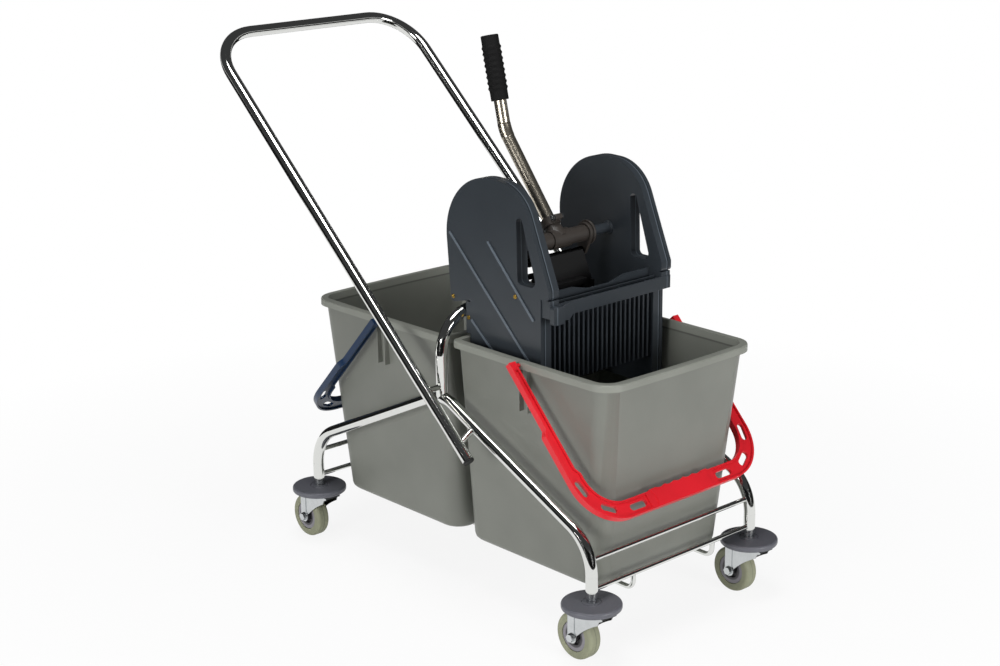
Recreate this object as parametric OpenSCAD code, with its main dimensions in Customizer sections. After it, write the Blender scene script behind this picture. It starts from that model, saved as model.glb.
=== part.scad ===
// Double mop bucket trolley: chromed tube frame on four swivel casters,
// two tapered buckets with swing bails and a lever wringer hooked over the centre hoop.
// +X is the front, +Y the left side, +Z up; the floor is z = 0.

/* [Frame tubes] */
// Outside diameter of the rails, hoop and push handle
tube_d = 19; // [16:0.5:22]
// Wall of the frame tubes
tube_wall = 1.5; // [1:0.25:2.5]
// Half the distance between front and rear legs
leg_x = 335; // [325:1:345]
// Distance of the legs' middle planes outside the rims
leg_gap = 12; // [10:0.5:20]
// Height of the open lower ends of the legs
leg_end_z = 109.5; // [108:0.5:112]
// Height where the two sloping halves of a side rail would meet
rail_peak_z = 347.5; // [338:0.5:357]
// Slope of the side rails from the peak down to the legs
rail_slope = 25.3; // [24:0.1:26.5]
// Bend radius between a sloping rail and its leg
knee_r = 77; // [60:1:80]
// Bend radius at the peak of a side rail
peak_r = 60; // [40:1:80]
// Height of the hoop's top bar over the rims
hoop_rise = 42; // [38:0.5:50]
// Bend radius of the hoop's corners
hoop_r = 66; // [50:1:68]

/* [Cross rods] */
// Diameter of the cross bars and cradle rods
rod_d = 8; // [6:0.5:10]
// Height of the upper cross bars
upper_bar_z = 165.5; // [158:0.5:172]
// Height of the lower cross bars
lower_bar_z = 119; // [117:0.5:127]
// Height of the cradle rods under the buckets
cradle_z = 93.5; // [91:0.5:97]
// Distance of a cradle rod from the middle plane
cradle_y = 90; // [70:1:110]
// Bend radius at the turned-up ends of a cradle rod
cradle_r = 14; // [10:1:16]
// Gap left at every coped weld
weld_gap = 0.1; // [0.05:0.05:0.2]

/* [Push handle] */
// Distance of a handle tube outside its leg
handle_gap = 34; // [32:0.5:42]
// Distance of the handle's lower ends in front of the hoop
handle_low_x = 99; // [90:1:110]
// Height of the handle's lower ends
handle_low_z = 269.5; // [264:0.5:275]
// Slope of the handle from the floor
handle_slope = 42.3; // [41:0.1:43.5]
// Height of the handle's top bar
handle_top_z = 863.5; // [825:0.5:900]
// Bend radius of the handle's top corners
handle_r = 86; // [60:1:110]
// Diameter of the spacers that join handle and frame
spacer_d = 10; // [8:0.5:12]
// Distance of the lower spacers in front of the hoop
spacer_x = 77; // [70:1:84]
// Thickness of the end plug's cap
plug_cap = 3; // [2:0.5:5]
// Depth of the end plug in the tube
plug_depth = 18; // [10:1:30]

/* [Casters] */
// Wheel diameter over the tyre
wheel_d = 75; // [70:1:77]
// Tyre width
tyre_w = 24; // [20:0.5:25]
// Radius of the wheel hub under the tyre
hub_r = 24; // [21:0.5:27]
// Hub width
hub_w = 21; // [18:0.5:23]
// Distance of the axle behind the swivel axis
trail = 27; // [24:0.5:29]
// Axle diameter
axle_d = 8; // [6:0.5:10]
// Running clearance on axles, pins and swivel stems
run_gap = 0.06; // [0.02:0.01:0.1]
// Space between the fork's side plates
fork_gap = 27; // [26.5:0.5:29]
// Height of the pressed strip on each fork leg
leg_emboss = 1.2; // [0.8:0.1:2]
// Sheet thickness of the fork
fork_sheet = 2.5; // [2:0.25:3]
// Top of the fork's ball race
race_z = 90; // [89:0.5:91]
// Height of the ball race
race_h = 8; // [6:0.5:9]
// Radius of the ball race
race_r = 21; // [18:0.5:24]
// Radius of the bumper disc
bumper_r = 46.5; // [42:0.5:48]
// Thickness of the bumper disc
bumper_h = 10; // [8:0.5:12]
// Diameter of the caster stem
stem_d = 11; // [9:0.5:12]
// Diameter of the stem's collar under the leg
collar_d = 16; // [14:0.5:19]
// Length of the stem's plug in the leg
stem_plug = 26; // [18:1:28]

/* [Buckets] */
// Half width over the rim
rim_w = 168; // [156:0.5:180]
// Outer end of the rim from the hoop
rim_far_x = 355; // [345:1:360]
// Inner end of the rim from the hoop
rim_near_x = 1.5; // [1:0.25:4]
// Height of the rim's top
rim_z = 435.5; // [420:0.5:450]
// Height of the rolled rim's skirt
rim_h = 11.5; // [10:0.5:14]
// Rounding of the rim's top edge
rim_edge = 2.5; // [1.5:0.25:3]
// How far the rolled rim stands out from the wall
rim_lip = 9; // [8:0.25:10]
// Corner radius of the rim's outer end
rim_corner = 36; // [30:1:44]
// Corner radius of the rim beside the hoop
rim_hoop_corner = 15; // [13:0.5:20]
// Outward bow of the rim's end sides
rim_bow_x = 4; // [0:0.5:6]
// Outward bow of the rim's long sides
rim_bow_y = 2; // [0:0.5:3]
// Taper of each long side from rim to bottom
foot_taper = 25; // [20:0.5:30]
// Outer end of the bottom from the hoop
foot_far_x = 308; // [300:1:315]
// Inner end of the bottom from the hoop
foot_near_x = 12; // [11:0.5:20]
// Corner radius of the bottom
foot_corner = 34; // [28:1:40]
// Rounding of the bottom edge
foot_round = 10; // [6:0.5:12]
// Wall thickness of a bucket
bucket_wall = 3; // [2:0.25:4]
// Distance of the bail pivots from the hoop
bail_x = 166; // [160:1:180]
// Height of the bail lug's ribs
lug_h = 69; // [50:1:75]
// Distance between the bail lug's two ribs
lug_gap = 15; // [11:0.5:18]
// Distance of the lug's middle in front of the pivot
lug_shift = 5; // [0:0.5:7]

/* [Bails] */
// Angle at which a bail hangs below the level
bail_drop = 47; // [44:0.5:50]
// Gap between a bail's arm and the rim
bail_gap = 7; // [5:0.5:9]
// Width of a bail's lower part
bail_wide = 20; // [19:0.5:23]
// Width of a bail's slim arm
bail_arm = 12.5; // [11:0.5:15]
// Length of the arm's end past the pivot
bail_end = 6; // [5.5:0.5:9]
// Length of the slim arm from the pivot
bail_slim = 110; // [90:1:130]
// Length of the slanted steps in a bail's outline
bail_step = 10; // [6:1:14]
// Distance from the pivot to the inner step
bail_knee = 182; // [170:1:190]
// Height of the inner step
bail_lip = 6; // [4:0.5:7]
// Distance from the pivot to the grip's inner edge
bail_reach = 253; // [251:1:258]
// Width of the grip across the bail's plane
bail_band = 28; // [25:0.5:30]
// Inner corner radius of a bail
bail_corner = 52; // [45:1:58]
// Thickness of a bail's edges
bail_thick = 11; // [10:0.5:14]
// Thickness of the web between a bail's edges
bail_web = 5; // [4:0.5:6]
// Width of the raised edge along a bail
bail_edge = 3; // [2.5:0.25:4]
// Diameter of the bail's pivot pin
bail_pin_d = 7; // [6:0.5:8]
// Length of the grip pad
grip_len = 128; // [110:1:140]

/* [Wringer cheeks] */
// Distance of the cheeks' outer faces inside the rims
cheek_inset = 33; // [31:0.5:40]
// Thickness of a cheek
cheek_t = 22; // [18:0.5:24]
// Radius of the cheek's dome
dome_r = 100; // [97:0.5:102]
// Dome centre in front of the hoop
dome_x = 66; // [64:0.5:68]
// Height of the dome's centre over the hoop
dome_up = 120; // [115:0.5:125]
// Front edge of the lower cheek
cheek_front_x = 180; // [176:0.5:186]
// Lower rear edge of the cheek, inside the bucket
cheek_rear_x = 19; // [17:0.5:24]
// Depth of the cheek's lower end under the hoop
cheek_drop = 140; // [130:1:150]
// Height of the raised ridges on the cheeks
ridge_h = 2; // [1:0.25:3]
// Width of the raised ridges
ridge_w = 4.5; // [3:0.25:6]
// Distance of the parting groove from a cheek's outer face
groove_y = 8; // [6:0.5:10]
// Width and depth of the parting groove
groove_w = 1.2; // [0.8:0.1:1.6]
// Gap between the wringer and the hoop it hangs on
hang_gap = 0.3; // [0.2:0.05:0.5]

/* [Wringer front] */
// Depth of the front bar
bar_t = 18; // [14:0.5:20]
// Height of the front bar
bar_h = 21; // [18:0.5:24]
// Height of the front bar's top over the hoop
bar_up = 44; // [40:0.5:47]
// Wall of the front bar's channel
bar_wall = 3; // [2:0.25:4]
// Thickness of the grid plate
grid_t = 4; // [3:0.25:5]
// Depth of the grid's fins
fin_depth = 8; // [6:0.5:9]
// Thickness of a fin
fin_t = 3.5; // [3:0.25:4]
// Distance from fin to fin
fin_pitch = 10.3; // [9:0.1:12]
// Depth of the grid's lower edge under the hoop
grid_drop = 90; // [80:1:97]
// Height of the grid's top at its sides over the hoop
grid_up = 54; // [50:0.5:57]
// Depth of the dip in the middle of the grid's top
grid_dip = 8; // [4:0.5:10]

/* [Wringer drive] */
// Lever shaft in front of the hoop
shaft_x = 79; // [76:0.5:82]
// Height of the lever shaft over the hoop
shaft_up = 105; // [101:0.5:109]
// Diameter of the lever shaft
shaft_d = 12; // [10:0.5:13]
// Radius of the housing round the shaft
sleeve_r = 13; // [12:0.5:14]
// Thickness of the housing's end flanges
flange_t = 4; // [3:0.5:6]
// Radius of the housing's end flanges
flange_r = 20; // [17:0.5:22]
// Crank radius from shaft to push rod
crank_r = 28; // [26:0.5:31]
// Angle of the resting crank behind straight down
crank_rest = 8.8; // [6:0.1:11]
// Distance of a crank arm from the middle plane
crank_y = 59; // [54:0.5:64]
// Thickness of a crank arm
crank_t = 6; // [4:0.5:8]
// Diameter of the push rod
push_d = 10; // [8:0.5:11]
// Lean of the lever's lower part behind upright
lever_lean = 37.8; // [34:0.2:42]
// Lean of the lever's grip behind upright
grip_lean = 13.3; // [10:0.1:18]
// Distance from shaft to the lever's bend
lever_bend = 198; // [180:1:215]
// Bend radius of the lever
lever_r = 70; // [50:1:90]
// Length of the lever above its bend
lever_top = 150; // [140:1:170]
// Diameter of the lever tube
lever_d = 18; // [16:0.5:20]
// Length of the rubber grip
rubber_len = 105; // [90:1:120]
// Radius of the rubber grip
rubber_r = 13; // [12:0.5:15]
// Distance from ridge to ridge of the rubber grip
rubber_pitch = 7; // [6:0.5:9]
// Radius of the lever socket's holder
holder_r = 13; // [12.5:0.25:14]
// Radius of the lever socket's foot
holder_foot = 15; // [14:0.5:17]
// Length of the lever socket from the shaft
holder_len = 37; // [35:1:42]

/* [Wringer jaw] */
// Depth of the jaw's pivot pin under the hoop
jaw_pin_drop = 123; // [119:0.5:127]
// Diameter of the jaw's pivot pin
jaw_pin_d = 10; // [8:0.5:12]
// Thickness of the jaw plate
jaw_t = 8; // [6:0.5:9]
// Depth of the jaw's front ribs
jaw_rib = 6; // [4:0.5:8]
// Gap between the jaw's sides and the cheeks
jaw_gap = 6; // [3:0.5:10]
// Half width of the jaw's top
jaw_neck = 46; // [40:0.5:50]
// Gap between the jaw's top and the shaft housing
jaw_head = 10.5; // [8:0.5:12]
// Depth of the ledge across the jaw
ledge_d = 15; // [10:0.5:18]
// Gap between the push rod and the resting jaw
push_gap = 0.5; // [0.3:0.1:0.8]

/* [Hidden] */
$fn = 64;
tube_r = tube_d / 2;
bore_r = tube_r - tube_wall;
rod_r = rod_d / 2;
wheel_r = wheel_d / 2;
leg_y = rim_w + leg_gap;
handle_y = leg_y + handle_gap;
hoop_z = rim_z + hoop_rise;
sliver = 0.02;
bend_draw = 0.05;

// Frame points
knee_z = rail_peak_z - leg_x * tan(rail_slope);
knee_turn = 90 - rail_slope;
knee_low_z = knee_z - knee_r * tan(knee_turn / 2);
peak_z = rail_peak_z - peak_r * (1 / cos(rail_slope) - 1);
upper_bar_x = leg_x - knee_r + sqrt(pow(knee_r, 2) - pow(max(0, upper_bar_z - knee_low_z), 2));
handle_top_x = handle_low_x - (handle_top_z - handle_low_z) / tan(handle_slope);
bumper_z = race_z + 0.3;

// The origin is moved to the middle of the trolley's length
x_shift = (tube_r - handle_top_x - leg_x - bumper_r) / 2;

// Bucket and bail points
rim_mid_x = (rim_far_x + rim_near_x) / 2;
foot_w = rim_w - foot_taper;
bail_in = rim_w + bail_gap;
bail_out = bail_in + bail_wide;
foot_z = cradle_z + rod_r;
wall_top_z = rim_z - rim_h;
bail_z = rim_z - rim_h / 2;
pin_r = bail_pin_d / 2;
bail_outer_corner = bail_corner + bail_out - bail_in + bail_lip - 2;

// Wringer points, hung on the hoop
cheek_y = rim_w - cheek_inset;
dome_z = hoop_z + dome_up;
cheek_low_z = hoop_z - cheek_drop;
bar_z = hoop_z + bar_up;
grid_low_z = hoop_z - grid_drop;
grid_top_z = hoop_z + grid_up;
shaft_z = hoop_z + shaft_up;
jaw_pin_z = hoop_z - jaw_pin_drop;
jaw_top_z = shaft_z - sleeve_r - jaw_head;
cheek_in = cheek_y - cheek_t;
jaw_w = cheek_in - jaw_gap;
roof_z = hoop_z + tube_r + hang_gap;
grid_front_x = cheek_front_x - 2;
grid_back_x = grid_front_x - fin_depth - grid_t;
push_r = push_d / 2;
push_x = shaft_x - crank_r * sin(crank_rest);
push_z = shaft_z - crank_r * cos(crank_rest);
jaw_x = push_x + push_r + push_gap + jaw_t / 2;
lever_dir = [-sin(lever_lean), 0, cos(lever_lean)];
grip_dir = [-sin(grip_lean), 0, cos(grip_lean)];
shaft_at = [shaft_x, 0, shaft_z];
bend_at = shaft_at + lever_dir * lever_bend;
lever_end = bend_at + grip_dir * lever_top;
lever_start = sleeve_r + 3;
sleeve_y = crank_y + crank_t / 2 + weld_gap + flange_t;
shaft_seat = 12;
tie_at = [-18, 0, roof_z + 9];
tie_r = 5;

CORNERS = ["front_right", "front_left", "rear_right", "rear_left"];
CASTER_PIECES = ["stem", "bumper", "fork", "axle", "hub", "tyre"];
FRAME_NODES = ["side_rail_right", "side_rail_left", "hoop", "front_upper_bar", "front_lower_bar",
    "rear_upper_bar", "rear_lower_bar", "cradle_rod_right", "cradle_rod_left", "push_handle",
    "handle_spacers", "handle_end_plugs"];
BUCKET_NODES = ["front_bucket", "rear_bucket", "front_bail", "rear_bail"];
WRINGER_NODES = ["cheek_right", "cheek_left", "front_bar", "front_grid", "bar_catch", "rear_tie_rod",
    "cheek_screws", "lever_shaft", "shaft_sleeve", "crank_arms", "push_rod", "lever_socket",
    "socket_clamp", "clamp_bolt", "lever_tube", "lever_grip", "jaw", "jaw_pin"];

CHROME = "#c9ccd0";
ZINC = "#b4b7ba";
BLACK = "#1c1c1e";
ANTHRACITE = "#3c4046";
BUCKET_GREY = "#80827c";
RED = "#d2202c";
BLUE = "#12305a";
BUMPER_GREY = "#4a4a50";
TYRE_GREY = "#8e8f78";
BRASS = "#b8963c";

function unit(v) = v / norm(v);
function swap(v) = [v.y, -v.x];

// Moves the trolley to the middle of its own length
module in_frame() {
    translate([x_shift, 0, 0])
        children();
}

// A cylinder from point a to point b
module rod(a, b, d) {
    v = b - a;
    translate(a)
        rotate([0, acos(v.z / norm(v)), atan2(v.y, v.x)])
            cylinder(d = d, h = norm(v));
}

// Tangent length of the bend of radius r at point b on the way from a to c
function bend_run(a, b, c, r) = r * tan(acos(unit(b - a) * unit(c - b)) / 2);

// The bend of radius r at point b on the way from a to c
module bend(a, b, c, r, d) {
    d1 = unit(b - a);
    d2 = unit(c - b);
    turn = acos(d1 * d2);
    side = unit(d2 - d1 * (d1 * d2));
    start = b - d1 * bend_run(a, b, c, r);
    mid = start + side * r;
    up = cross(d1, side);
    multmatrix([[-side.x, d1.x, up.x, mid.x], [-side.y, d1.y, up.y, mid.y],
            [-side.z, d1.z, up.z, mid.z], [0, 0, 0, 1]])
        rotate_extrude(angle = turn)
            translate([r, 0])
                circle(d = d);
}

// A round bar along points, with a bend radius at each point between the ends;
// the straights lap over the bends, which are drawn in a little as in a real bent bar
module bar_path(points, radii, d, lap = 0.5) {
    last = len(points) - 1;
    for (i = [0:last - 1]) {
        a = points[i];
        b = points[i + 1];
        run_a = i == 0 ? 0 : bend_run(points[i - 1], a, b, radii[i - 1]) - lap;
        run_b = i == last - 1 ? 0 : bend_run(a, b, points[i + 2], radii[i]) - lap;
        rod(a + unit(b - a) * run_a, b - unit(b - a) * run_b, d);
    }
    for (i = [1:last - 1])
        bend(points[i - 1], points[i], points[i + 1], radii[i - 1], d - 2 * bend_draw);
}

// The same points with both ends moved outward by e
function stretched(p, e) = [for (i = [0:len(p) - 1])
    i == 0 ? p[0] - unit(p[1] - p[0]) * e :
    i == len(p) - 1 ? p[i] + unit(p[i] - p[i - 1]) * e : p[i]];

// A tube along points
module tube_path(points, radii, d, wall) {
    difference() {
        bar_path(points, radii, d);
        bar_path(stretched(points, 1), radii, d - 2 * wall, 1);
    }
}

// Outline round circles [x, y, r] given anticlockwise: arcs joined by lines drawn in a touch from their
// outer tangents
module belt(circles) {
    n = len(circles);
    polygon([for (i = [0:n - 1])
        let (a = circles[i], b = circles[(i + 1) % n], v = [b[0] - a[0], b[1] - a[1]],
            lean = (a[2] - b[2]) / norm(v),
            out = unit(v) * lean + swap(unit(v)) * sqrt(1 - lean * lean))
        each [[a[0], a[1]] + out * (a[2] - bend_draw), [b[0], b[1]] + out * (b[2] - bend_draw)]]);
    for (c = circles)
        translate([c[0], c[1]])
            circle(r = c[2]);
}

// Stands an outline drawn in x and z upright, with its thickness along +Y from y0
module upright(y0, t) {
    translate([0, y0 + t, 0])
        rotate([90, 0, 0])
            linear_extrude(t)
                children();
}

// A cylinder along Y at x, z from y0 to y1
module cross_pin(x, z, y0, y1, r) {
    translate([x, y0, z])
        rotate([-90, 0, 0])
            cylinder(r = r, h = y1 - y0);
}

// Frame pieces
module side_rail(side) {
    y = side * leg_y;
    color(CHROME)
        tube_path([[-leg_x, y, leg_end_z], [-leg_x, y, knee_z], [0, y, rail_peak_z],
            [leg_x, y, knee_z], [leg_x, y, leg_end_z]], [knee_r, peak_r, knee_r], tube_d, tube_wall);
}

module hoop() {
    color(CHROME)
        difference() {
            tube_path([[0, -leg_y, peak_z], [0, -leg_y, hoop_z], [0, leg_y, hoop_z], [0, leg_y, peak_z]],
                [hoop_r, hoop_r], tube_d, tube_wall);
            for (side = [-1, 1])
                rod([-tube_d, side * leg_y, peak_z], [tube_d, side * leg_y, peak_z], tube_d + 2 * weld_gap);
        }
}

module upper_bar(end) {
    color(CHROME)
        difference() {
            rod([end * upper_bar_x, -leg_y, upper_bar_z], [end * upper_bar_x, leg_y, upper_bar_z], rod_d);
            for (side = [-1, 1])
                bend([end * leg_x, side * leg_y, leg_end_z], [end * leg_x, side * leg_y, knee_z],
                    [0, side * leg_y, rail_peak_z], knee_r, tube_d + 2 * weld_gap);
        }
}

module lower_bar(end) {
    color(CHROME)
        difference() {
            rod([end * leg_x, -leg_y, lower_bar_z], [end * leg_x, leg_y, lower_bar_z], rod_d);
            for (side = [-1, 1])
                rod([end * leg_x, side * leg_y, leg_end_z], [end * leg_x, side * leg_y, knee_low_z],
                    tube_d + 2 * weld_gap);
        }
}

module cradle_rod(side) {
    y = side * cradle_y;
    color(CHROME)
        difference() {
            bar_path([[-leg_x, y, lower_bar_z], [-leg_x, y, cradle_z], [leg_x, y, cradle_z],
                [leg_x, y, lower_bar_z]], [cradle_r, cradle_r], rod_d);
            for (end = [-1, 1])
                rod([end * leg_x, y - rod_d, lower_bar_z], [end * leg_x, y + rod_d, lower_bar_z],
                    rod_d + 2 * weld_gap);
        }
}

function handle_points(side) = [[handle_low_x, side * handle_y, handle_low_z],
    [handle_top_x, side * handle_y, handle_top_z]];

module push_handle() {
    right = handle_points(-1);
    left = handle_points(1);
    color(CHROME)
        tube_path([right[0], right[1], left[1], left[0]], [handle_r, handle_r], tube_d, tube_wall);
}

// Two spacers a side: one to the hoop's leg, one to the sloping rail
module handle_spacers() {
    hoop_spacer_z = handle_low_z + handle_low_x * tan(handle_slope);
    low_handle_z = handle_low_z + (handle_low_x - spacer_x) * tan(handle_slope);
    low_rail_z = rail_peak_z - spacer_x * tan(rail_slope);
    color(CHROME)
        for (side = [-1, 1])
            difference() {
                union() {
                    rod([0, side * handle_y, hoop_spacer_z], [0, side * leg_y, hoop_spacer_z], spacer_d);
                    rod([spacer_x, side * handle_y, low_handle_z], [spacer_x, side * leg_y, low_rail_z], spacer_d);
                }
                rod(handle_points(side)[0], handle_points(side)[1], tube_d + 2 * weld_gap);
                rod([0, side * leg_y, peak_z], [0, side * leg_y, hoop_z - hoop_r], tube_d + 2 * weld_gap);
                rod([0, side * leg_y, rail_peak_z], [leg_x, side * leg_y, knee_z], tube_d + 2 * weld_gap);
            }
}

module handle_end_plugs() {
    color(BLACK)
        for (side = [-1, 1]) {
            low = handle_points(side)[0];
            out = unit(low - handle_points(side)[1]);
            rod(low - out * plug_depth, low, 2 * (bore_r - weld_gap));
            rod(low, low + out * plug_cap, tube_d);
        }
}

// Caster pieces, drawn with the swivel axis on the Z axis
module at_corner(i) {
    translate([i < 2 ? leg_x : -leg_x, i % 2 == 0 ? -leg_y : leg_y, 0])
        children();
}

module stem() {
    nut_h = leg_end_z - bumper_z - bumper_h;
    color(ZINC) {
        translate([0, 0, race_z - race_h - 3])
            cylinder(d = stem_d, h = bumper_z + bumper_h - race_z + race_h + 3);
        translate([0, 0, race_z - race_h - 3 - fork_sheet])
            cylinder(d = stem_d + 6, h = fork_sheet, $fn = 6);
        translate([0, 0, bumper_z + bumper_h])
            cylinder(d = collar_d, h = nut_h);
        translate([0, 0, leg_end_z])
            cylinder(r = bore_r - weld_gap, h = stem_plug);
    }
}

module bumper() {
    edge = 3.5;
    hole = stem_d / 2 + weld_gap;
    ring = 15;
    rim = bumper_r - edge;
    color(BUMPER_GREY)
        translate([0, 0, bumper_z])
            rotate_extrude()
                difference() {
                    union() {
                        translate([hole, 0])
                            square([rim - hole, bumper_h]);
                        translate([rim - 1, edge])
                            square([edge + 1, bumper_h - 2 * edge]);
                        for (z = [edge, bumper_h - edge])
                            translate([rim, z])
                                circle(r = edge);
                    }
                    translate([ring, bumper_h])
                        circle(r = 1);
                }
}

// Pressed fork: a race on a crown, side plates with a hollow front edge and a raised leg on each
module fork() {
    plate_y = fork_gap / 2;
    crown_z = race_z - race_h;
    eye = 8.5;
    low = [eye - trail, wheel_r + 3];
    front = race_r + 16;
    high = [front, crown_z - 3];
    hollow = 3.5;
    chord = high - low;
    hollow_r = (pow(norm(chord) / 2, 2) + pow(hollow, 2)) / (2 * hollow);
    hollow_at = (low + high) / 2 + swap(unit(chord)) * (hollow_r - hollow);
    color(ZINC)
        difference() {
            union() {
                translate([0, 0, crown_z])
                    cylinder(r = race_r, h = race_h);
                translate([-trail - eye, -plate_y - fork_sheet, crown_z - 3])
                    cube([trail + eye + front, fork_gap + 2 * fork_sheet, 3]);
                for (side = [-1, 1]) {
                    upright(side > 0 ? plate_y : -plate_y - fork_sheet, fork_sheet)
                        difference() {
                            union() {
                                polygon([[-trail - eye, wheel_r], [-trail, wheel_r - 1], low, [low.x + 6, low.y + 2],
                                    [high.x, high.y], [high.x, crown_z - 0.5], [-trail - eye, crown_z - 0.5]]);
                                translate([-trail, wheel_r])
                                    circle(r = eye);
                            }
                            translate(hollow_at)
                                circle(r = hollow_r);
                        }
                    upright(side > 0 ? plate_y + fork_sheet - 0.5 : -plate_y - fork_sheet - leg_emboss,
                            leg_emboss + 0.5)
                        belt([[-trail, wheel_r, eye - 2], [-trail, crown_z - 8, eye - 2]]);
                }
            }
            cylinder(r = stem_d / 2 + run_gap, h = 2 * race_z);
            cross_pin(-trail, wheel_r, -fork_gap, fork_gap, axle_d / 2 + run_gap);
        }
}

module axle() {
    reach = fork_gap / 2 + fork_sheet + leg_emboss;
    head = axle_d * 0.55;
    color(ZINC) {
        cross_pin(-trail, wheel_r, -reach - head, reach + head, axle_d / 2);
        for (y0 = [-reach - head, reach])
            translate([-trail, y0, wheel_r])
                rotate([-90, 0, 0])
                    cylinder(d = axle_d * 1.75, h = head, $fn = 6);
    }
}

module hub() {
    boss_r = axle_d / 2 + 4;
    well_r = hub_r * 0.58;
    well = 6;
    color(BUMPER_GREY)
        translate([-trail, 0, wheel_r])
            rotate([90, 0, 0])
                rotate_extrude()
                    difference() {
                        translate([axle_d / 2 + run_gap, -hub_w / 2])
                            square([hub_r - axle_d / 2 - run_gap, hub_w]);
                        for (y0 = [-hub_w / 2 - 1, hub_w / 2 - well])
                            translate([boss_r, y0])
                                square([well_r - boss_r, well + 1]);
                    }
}

module tyre() {
    shoulder = 6;
    color(TYRE_GREY)
        translate([-trail, 0, wheel_r])
            rotate([90, 0, 0])
                rotate_extrude()
                    union() {
                        translate([hub_r + weld_gap, -tyre_w / 2])
                            square([wheel_r - shoulder - hub_r - weld_gap, tyre_w]);
                        translate([wheel_r - shoulder - sliver, shoulder - tyre_w / 2])
                            square([shoulder + sliver, tyre_w - 2 * shoulder]);
                        for (side = [-1, 1])
                            translate([wheel_r - shoulder, side * (tyre_w / 2 - shoulder)])
                                circle(r = shoulder);
                    }
}

// Points of a rectangle of half sizes hx, hy with sides bowed outward; the two corners at +x have
// radius r, the two at -x radius q
corner_steps = 9;
side_steps = 5;
function bowed(hx, hy, r, q, bow_x, bow_y) =
    [for (p = rounded(hx, hy, r, q))
        [p.x * (1 - bow_x / hx * pow(p.y / hy, 2)), p.y * (1 - bow_y / hy * pow(p.x / hx, 2))]];
function rounded(hx, hy, r, q) = [for (k = [0:3])
    let (c = [[1, 1], [-1, 1], [-1, -1], [1, -1]][k], n = [[-1, 1], [-1, -1], [1, -1], [1, 1]][k],
        e = c.x > 0 ? r : q, f = n.x > 0 ? r : q,
        at = [c.x * (hx - e), c.y * (hy - e)], next = [n.x * (hx - f), n.y * (hy - f)],
        turn = [cos(90 * k + 90), sin(90 * k + 90)], from = at + e * turn, to = next + f * turn)
    each concat([for (i = [0:corner_steps]) at + e * [cos(90 * (k + i / corner_steps)),
            sin(90 * (k + i / corner_steps))]],
        [for (j = [1:side_steps - 1]) from + (to - from) * j / side_steps])];

// The bucket's plan at height z, drawn in by inset
module plan(z, inset) {
    up = (z - foot_z) / (rim_z - foot_z);
    far = foot_far_x + (rim_far_x - rim_lip - foot_far_x) * up - inset;
    near = foot_near_x + (rim_near_x + rim_lip - foot_near_x) * up + inset;
    half = foot_w + (rim_w - rim_lip - foot_w) * up - inset;
    r = foot_corner + (rim_corner - rim_lip - foot_corner) * up - inset;
    q = foot_corner + (rim_hoop_corner - rim_lip - foot_corner) * up - inset;
    translate([(far + near) / 2, 0])
        polygon(bowed((far - near) / 2, half, r, q, rim_bow_x * up, rim_bow_y * up));
}

module plan_slab(z, inset, at = undef) {
    translate([0, 0, is_undef(at) ? z : at])
        linear_extrude(sliver)
            plan(z, inset);
}

module rim_plan(inset) {
    translate([rim_mid_x, 0])
        polygon(bowed((rim_far_x - rim_near_x) / 2 - inset, rim_w - inset, rim_corner - inset,
            rim_hoop_corner - inset, rim_bow_x, rim_bow_y));
}

module bucket() {
    floor_z = foot_z + bucket_wall;
    color(BUCKET_GREY)
        difference() {
            union() {
                hull() {
                    plan_slab(foot_z, foot_round);
                    plan_slab(foot_z + foot_round * 0.12, foot_round * 0.5);
                    plan_slab(foot_z + foot_round * 0.5, foot_round * 0.12);
                    plan_slab(foot_z + foot_round, 0);
                    plan_slab(rim_z - rim_edge - sliver, 0);
                }
                difference() {
                    union() {
                        translate([0, 0, wall_top_z])
                            linear_extrude(rim_h - rim_edge)
                                rim_plan(0);
                        hull() {
                            translate([0, 0, rim_z - rim_edge])
                                linear_extrude(sliver)
                                    rim_plan(0);
                            translate([0, 0, rim_z - rim_edge * 0.3])
                                linear_extrude(sliver)
                                    rim_plan(rim_edge * 0.3);
                            translate([0, 0, rim_z - sliver])
                                linear_extrude(sliver)
                                    rim_plan(rim_edge);
                        }
                    }
                    translate([0, 0, wall_top_z - 1])
                        linear_extrude(rim_h - bucket_wall + 1 - rim_edge / 2)
                            difference() {
                                rim_plan(bucket_wall);
                                plan(rim_z, -1);
                            }
                }
                for (side = [-1, 1])
                    bail_lug(side);
            }
            hull() {
                plan_slab(foot_z + foot_round, foot_round + bucket_wall, floor_z);
                plan_slab(foot_z + foot_round, bucket_wall);
                plan_slab(rim_z, bucket_wall, rim_z + sliver);
            }
            for (side = [-1, 1])
                cross_pin(bail_x, bail_z, side > 0 ? rim_w - rim_lip + 1 : -rim_w - 1,
                    side > 0 ? rim_w + 1 : rim_lip - rim_w - 1, pin_r + run_gap);
        }
}

// Boss behind the rim's skirt and two ribs under it, cut square at their lower ends
module bail_lug(side) {
    root = rim_w - rim_lip - bucket_wall / 2;
    low_z = wall_top_z - lug_h;
    rib_root = rim_w - rim_lip - (rim_w - rim_lip - foot_w) * (rim_z - low_z) / (rim_z - foot_z) - bucket_wall / 2;
    rib_out = rim_w - bucket_wall;
    rib_t = 3;
    mid = bail_x + lug_shift;
    mirror([0, side > 0 ? 0 : 1, 0]) {
        cross_pin(bail_x, bail_z, root, rim_w - bucket_wall / 2, rim_h / 2 - 0.5);
        for (x = [mid - lug_gap / 2 - rib_t, mid + lug_gap / 2])
            translate([x, 0, 0])
                rotate([90, 0, 90])
                    linear_extrude(rib_t)
                        polygon([[root, wall_top_z + bucket_wall], [rib_out, wall_top_z + bucket_wall],
                            [rib_out, low_z], [rib_root, low_z]]);
    }
}

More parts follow.
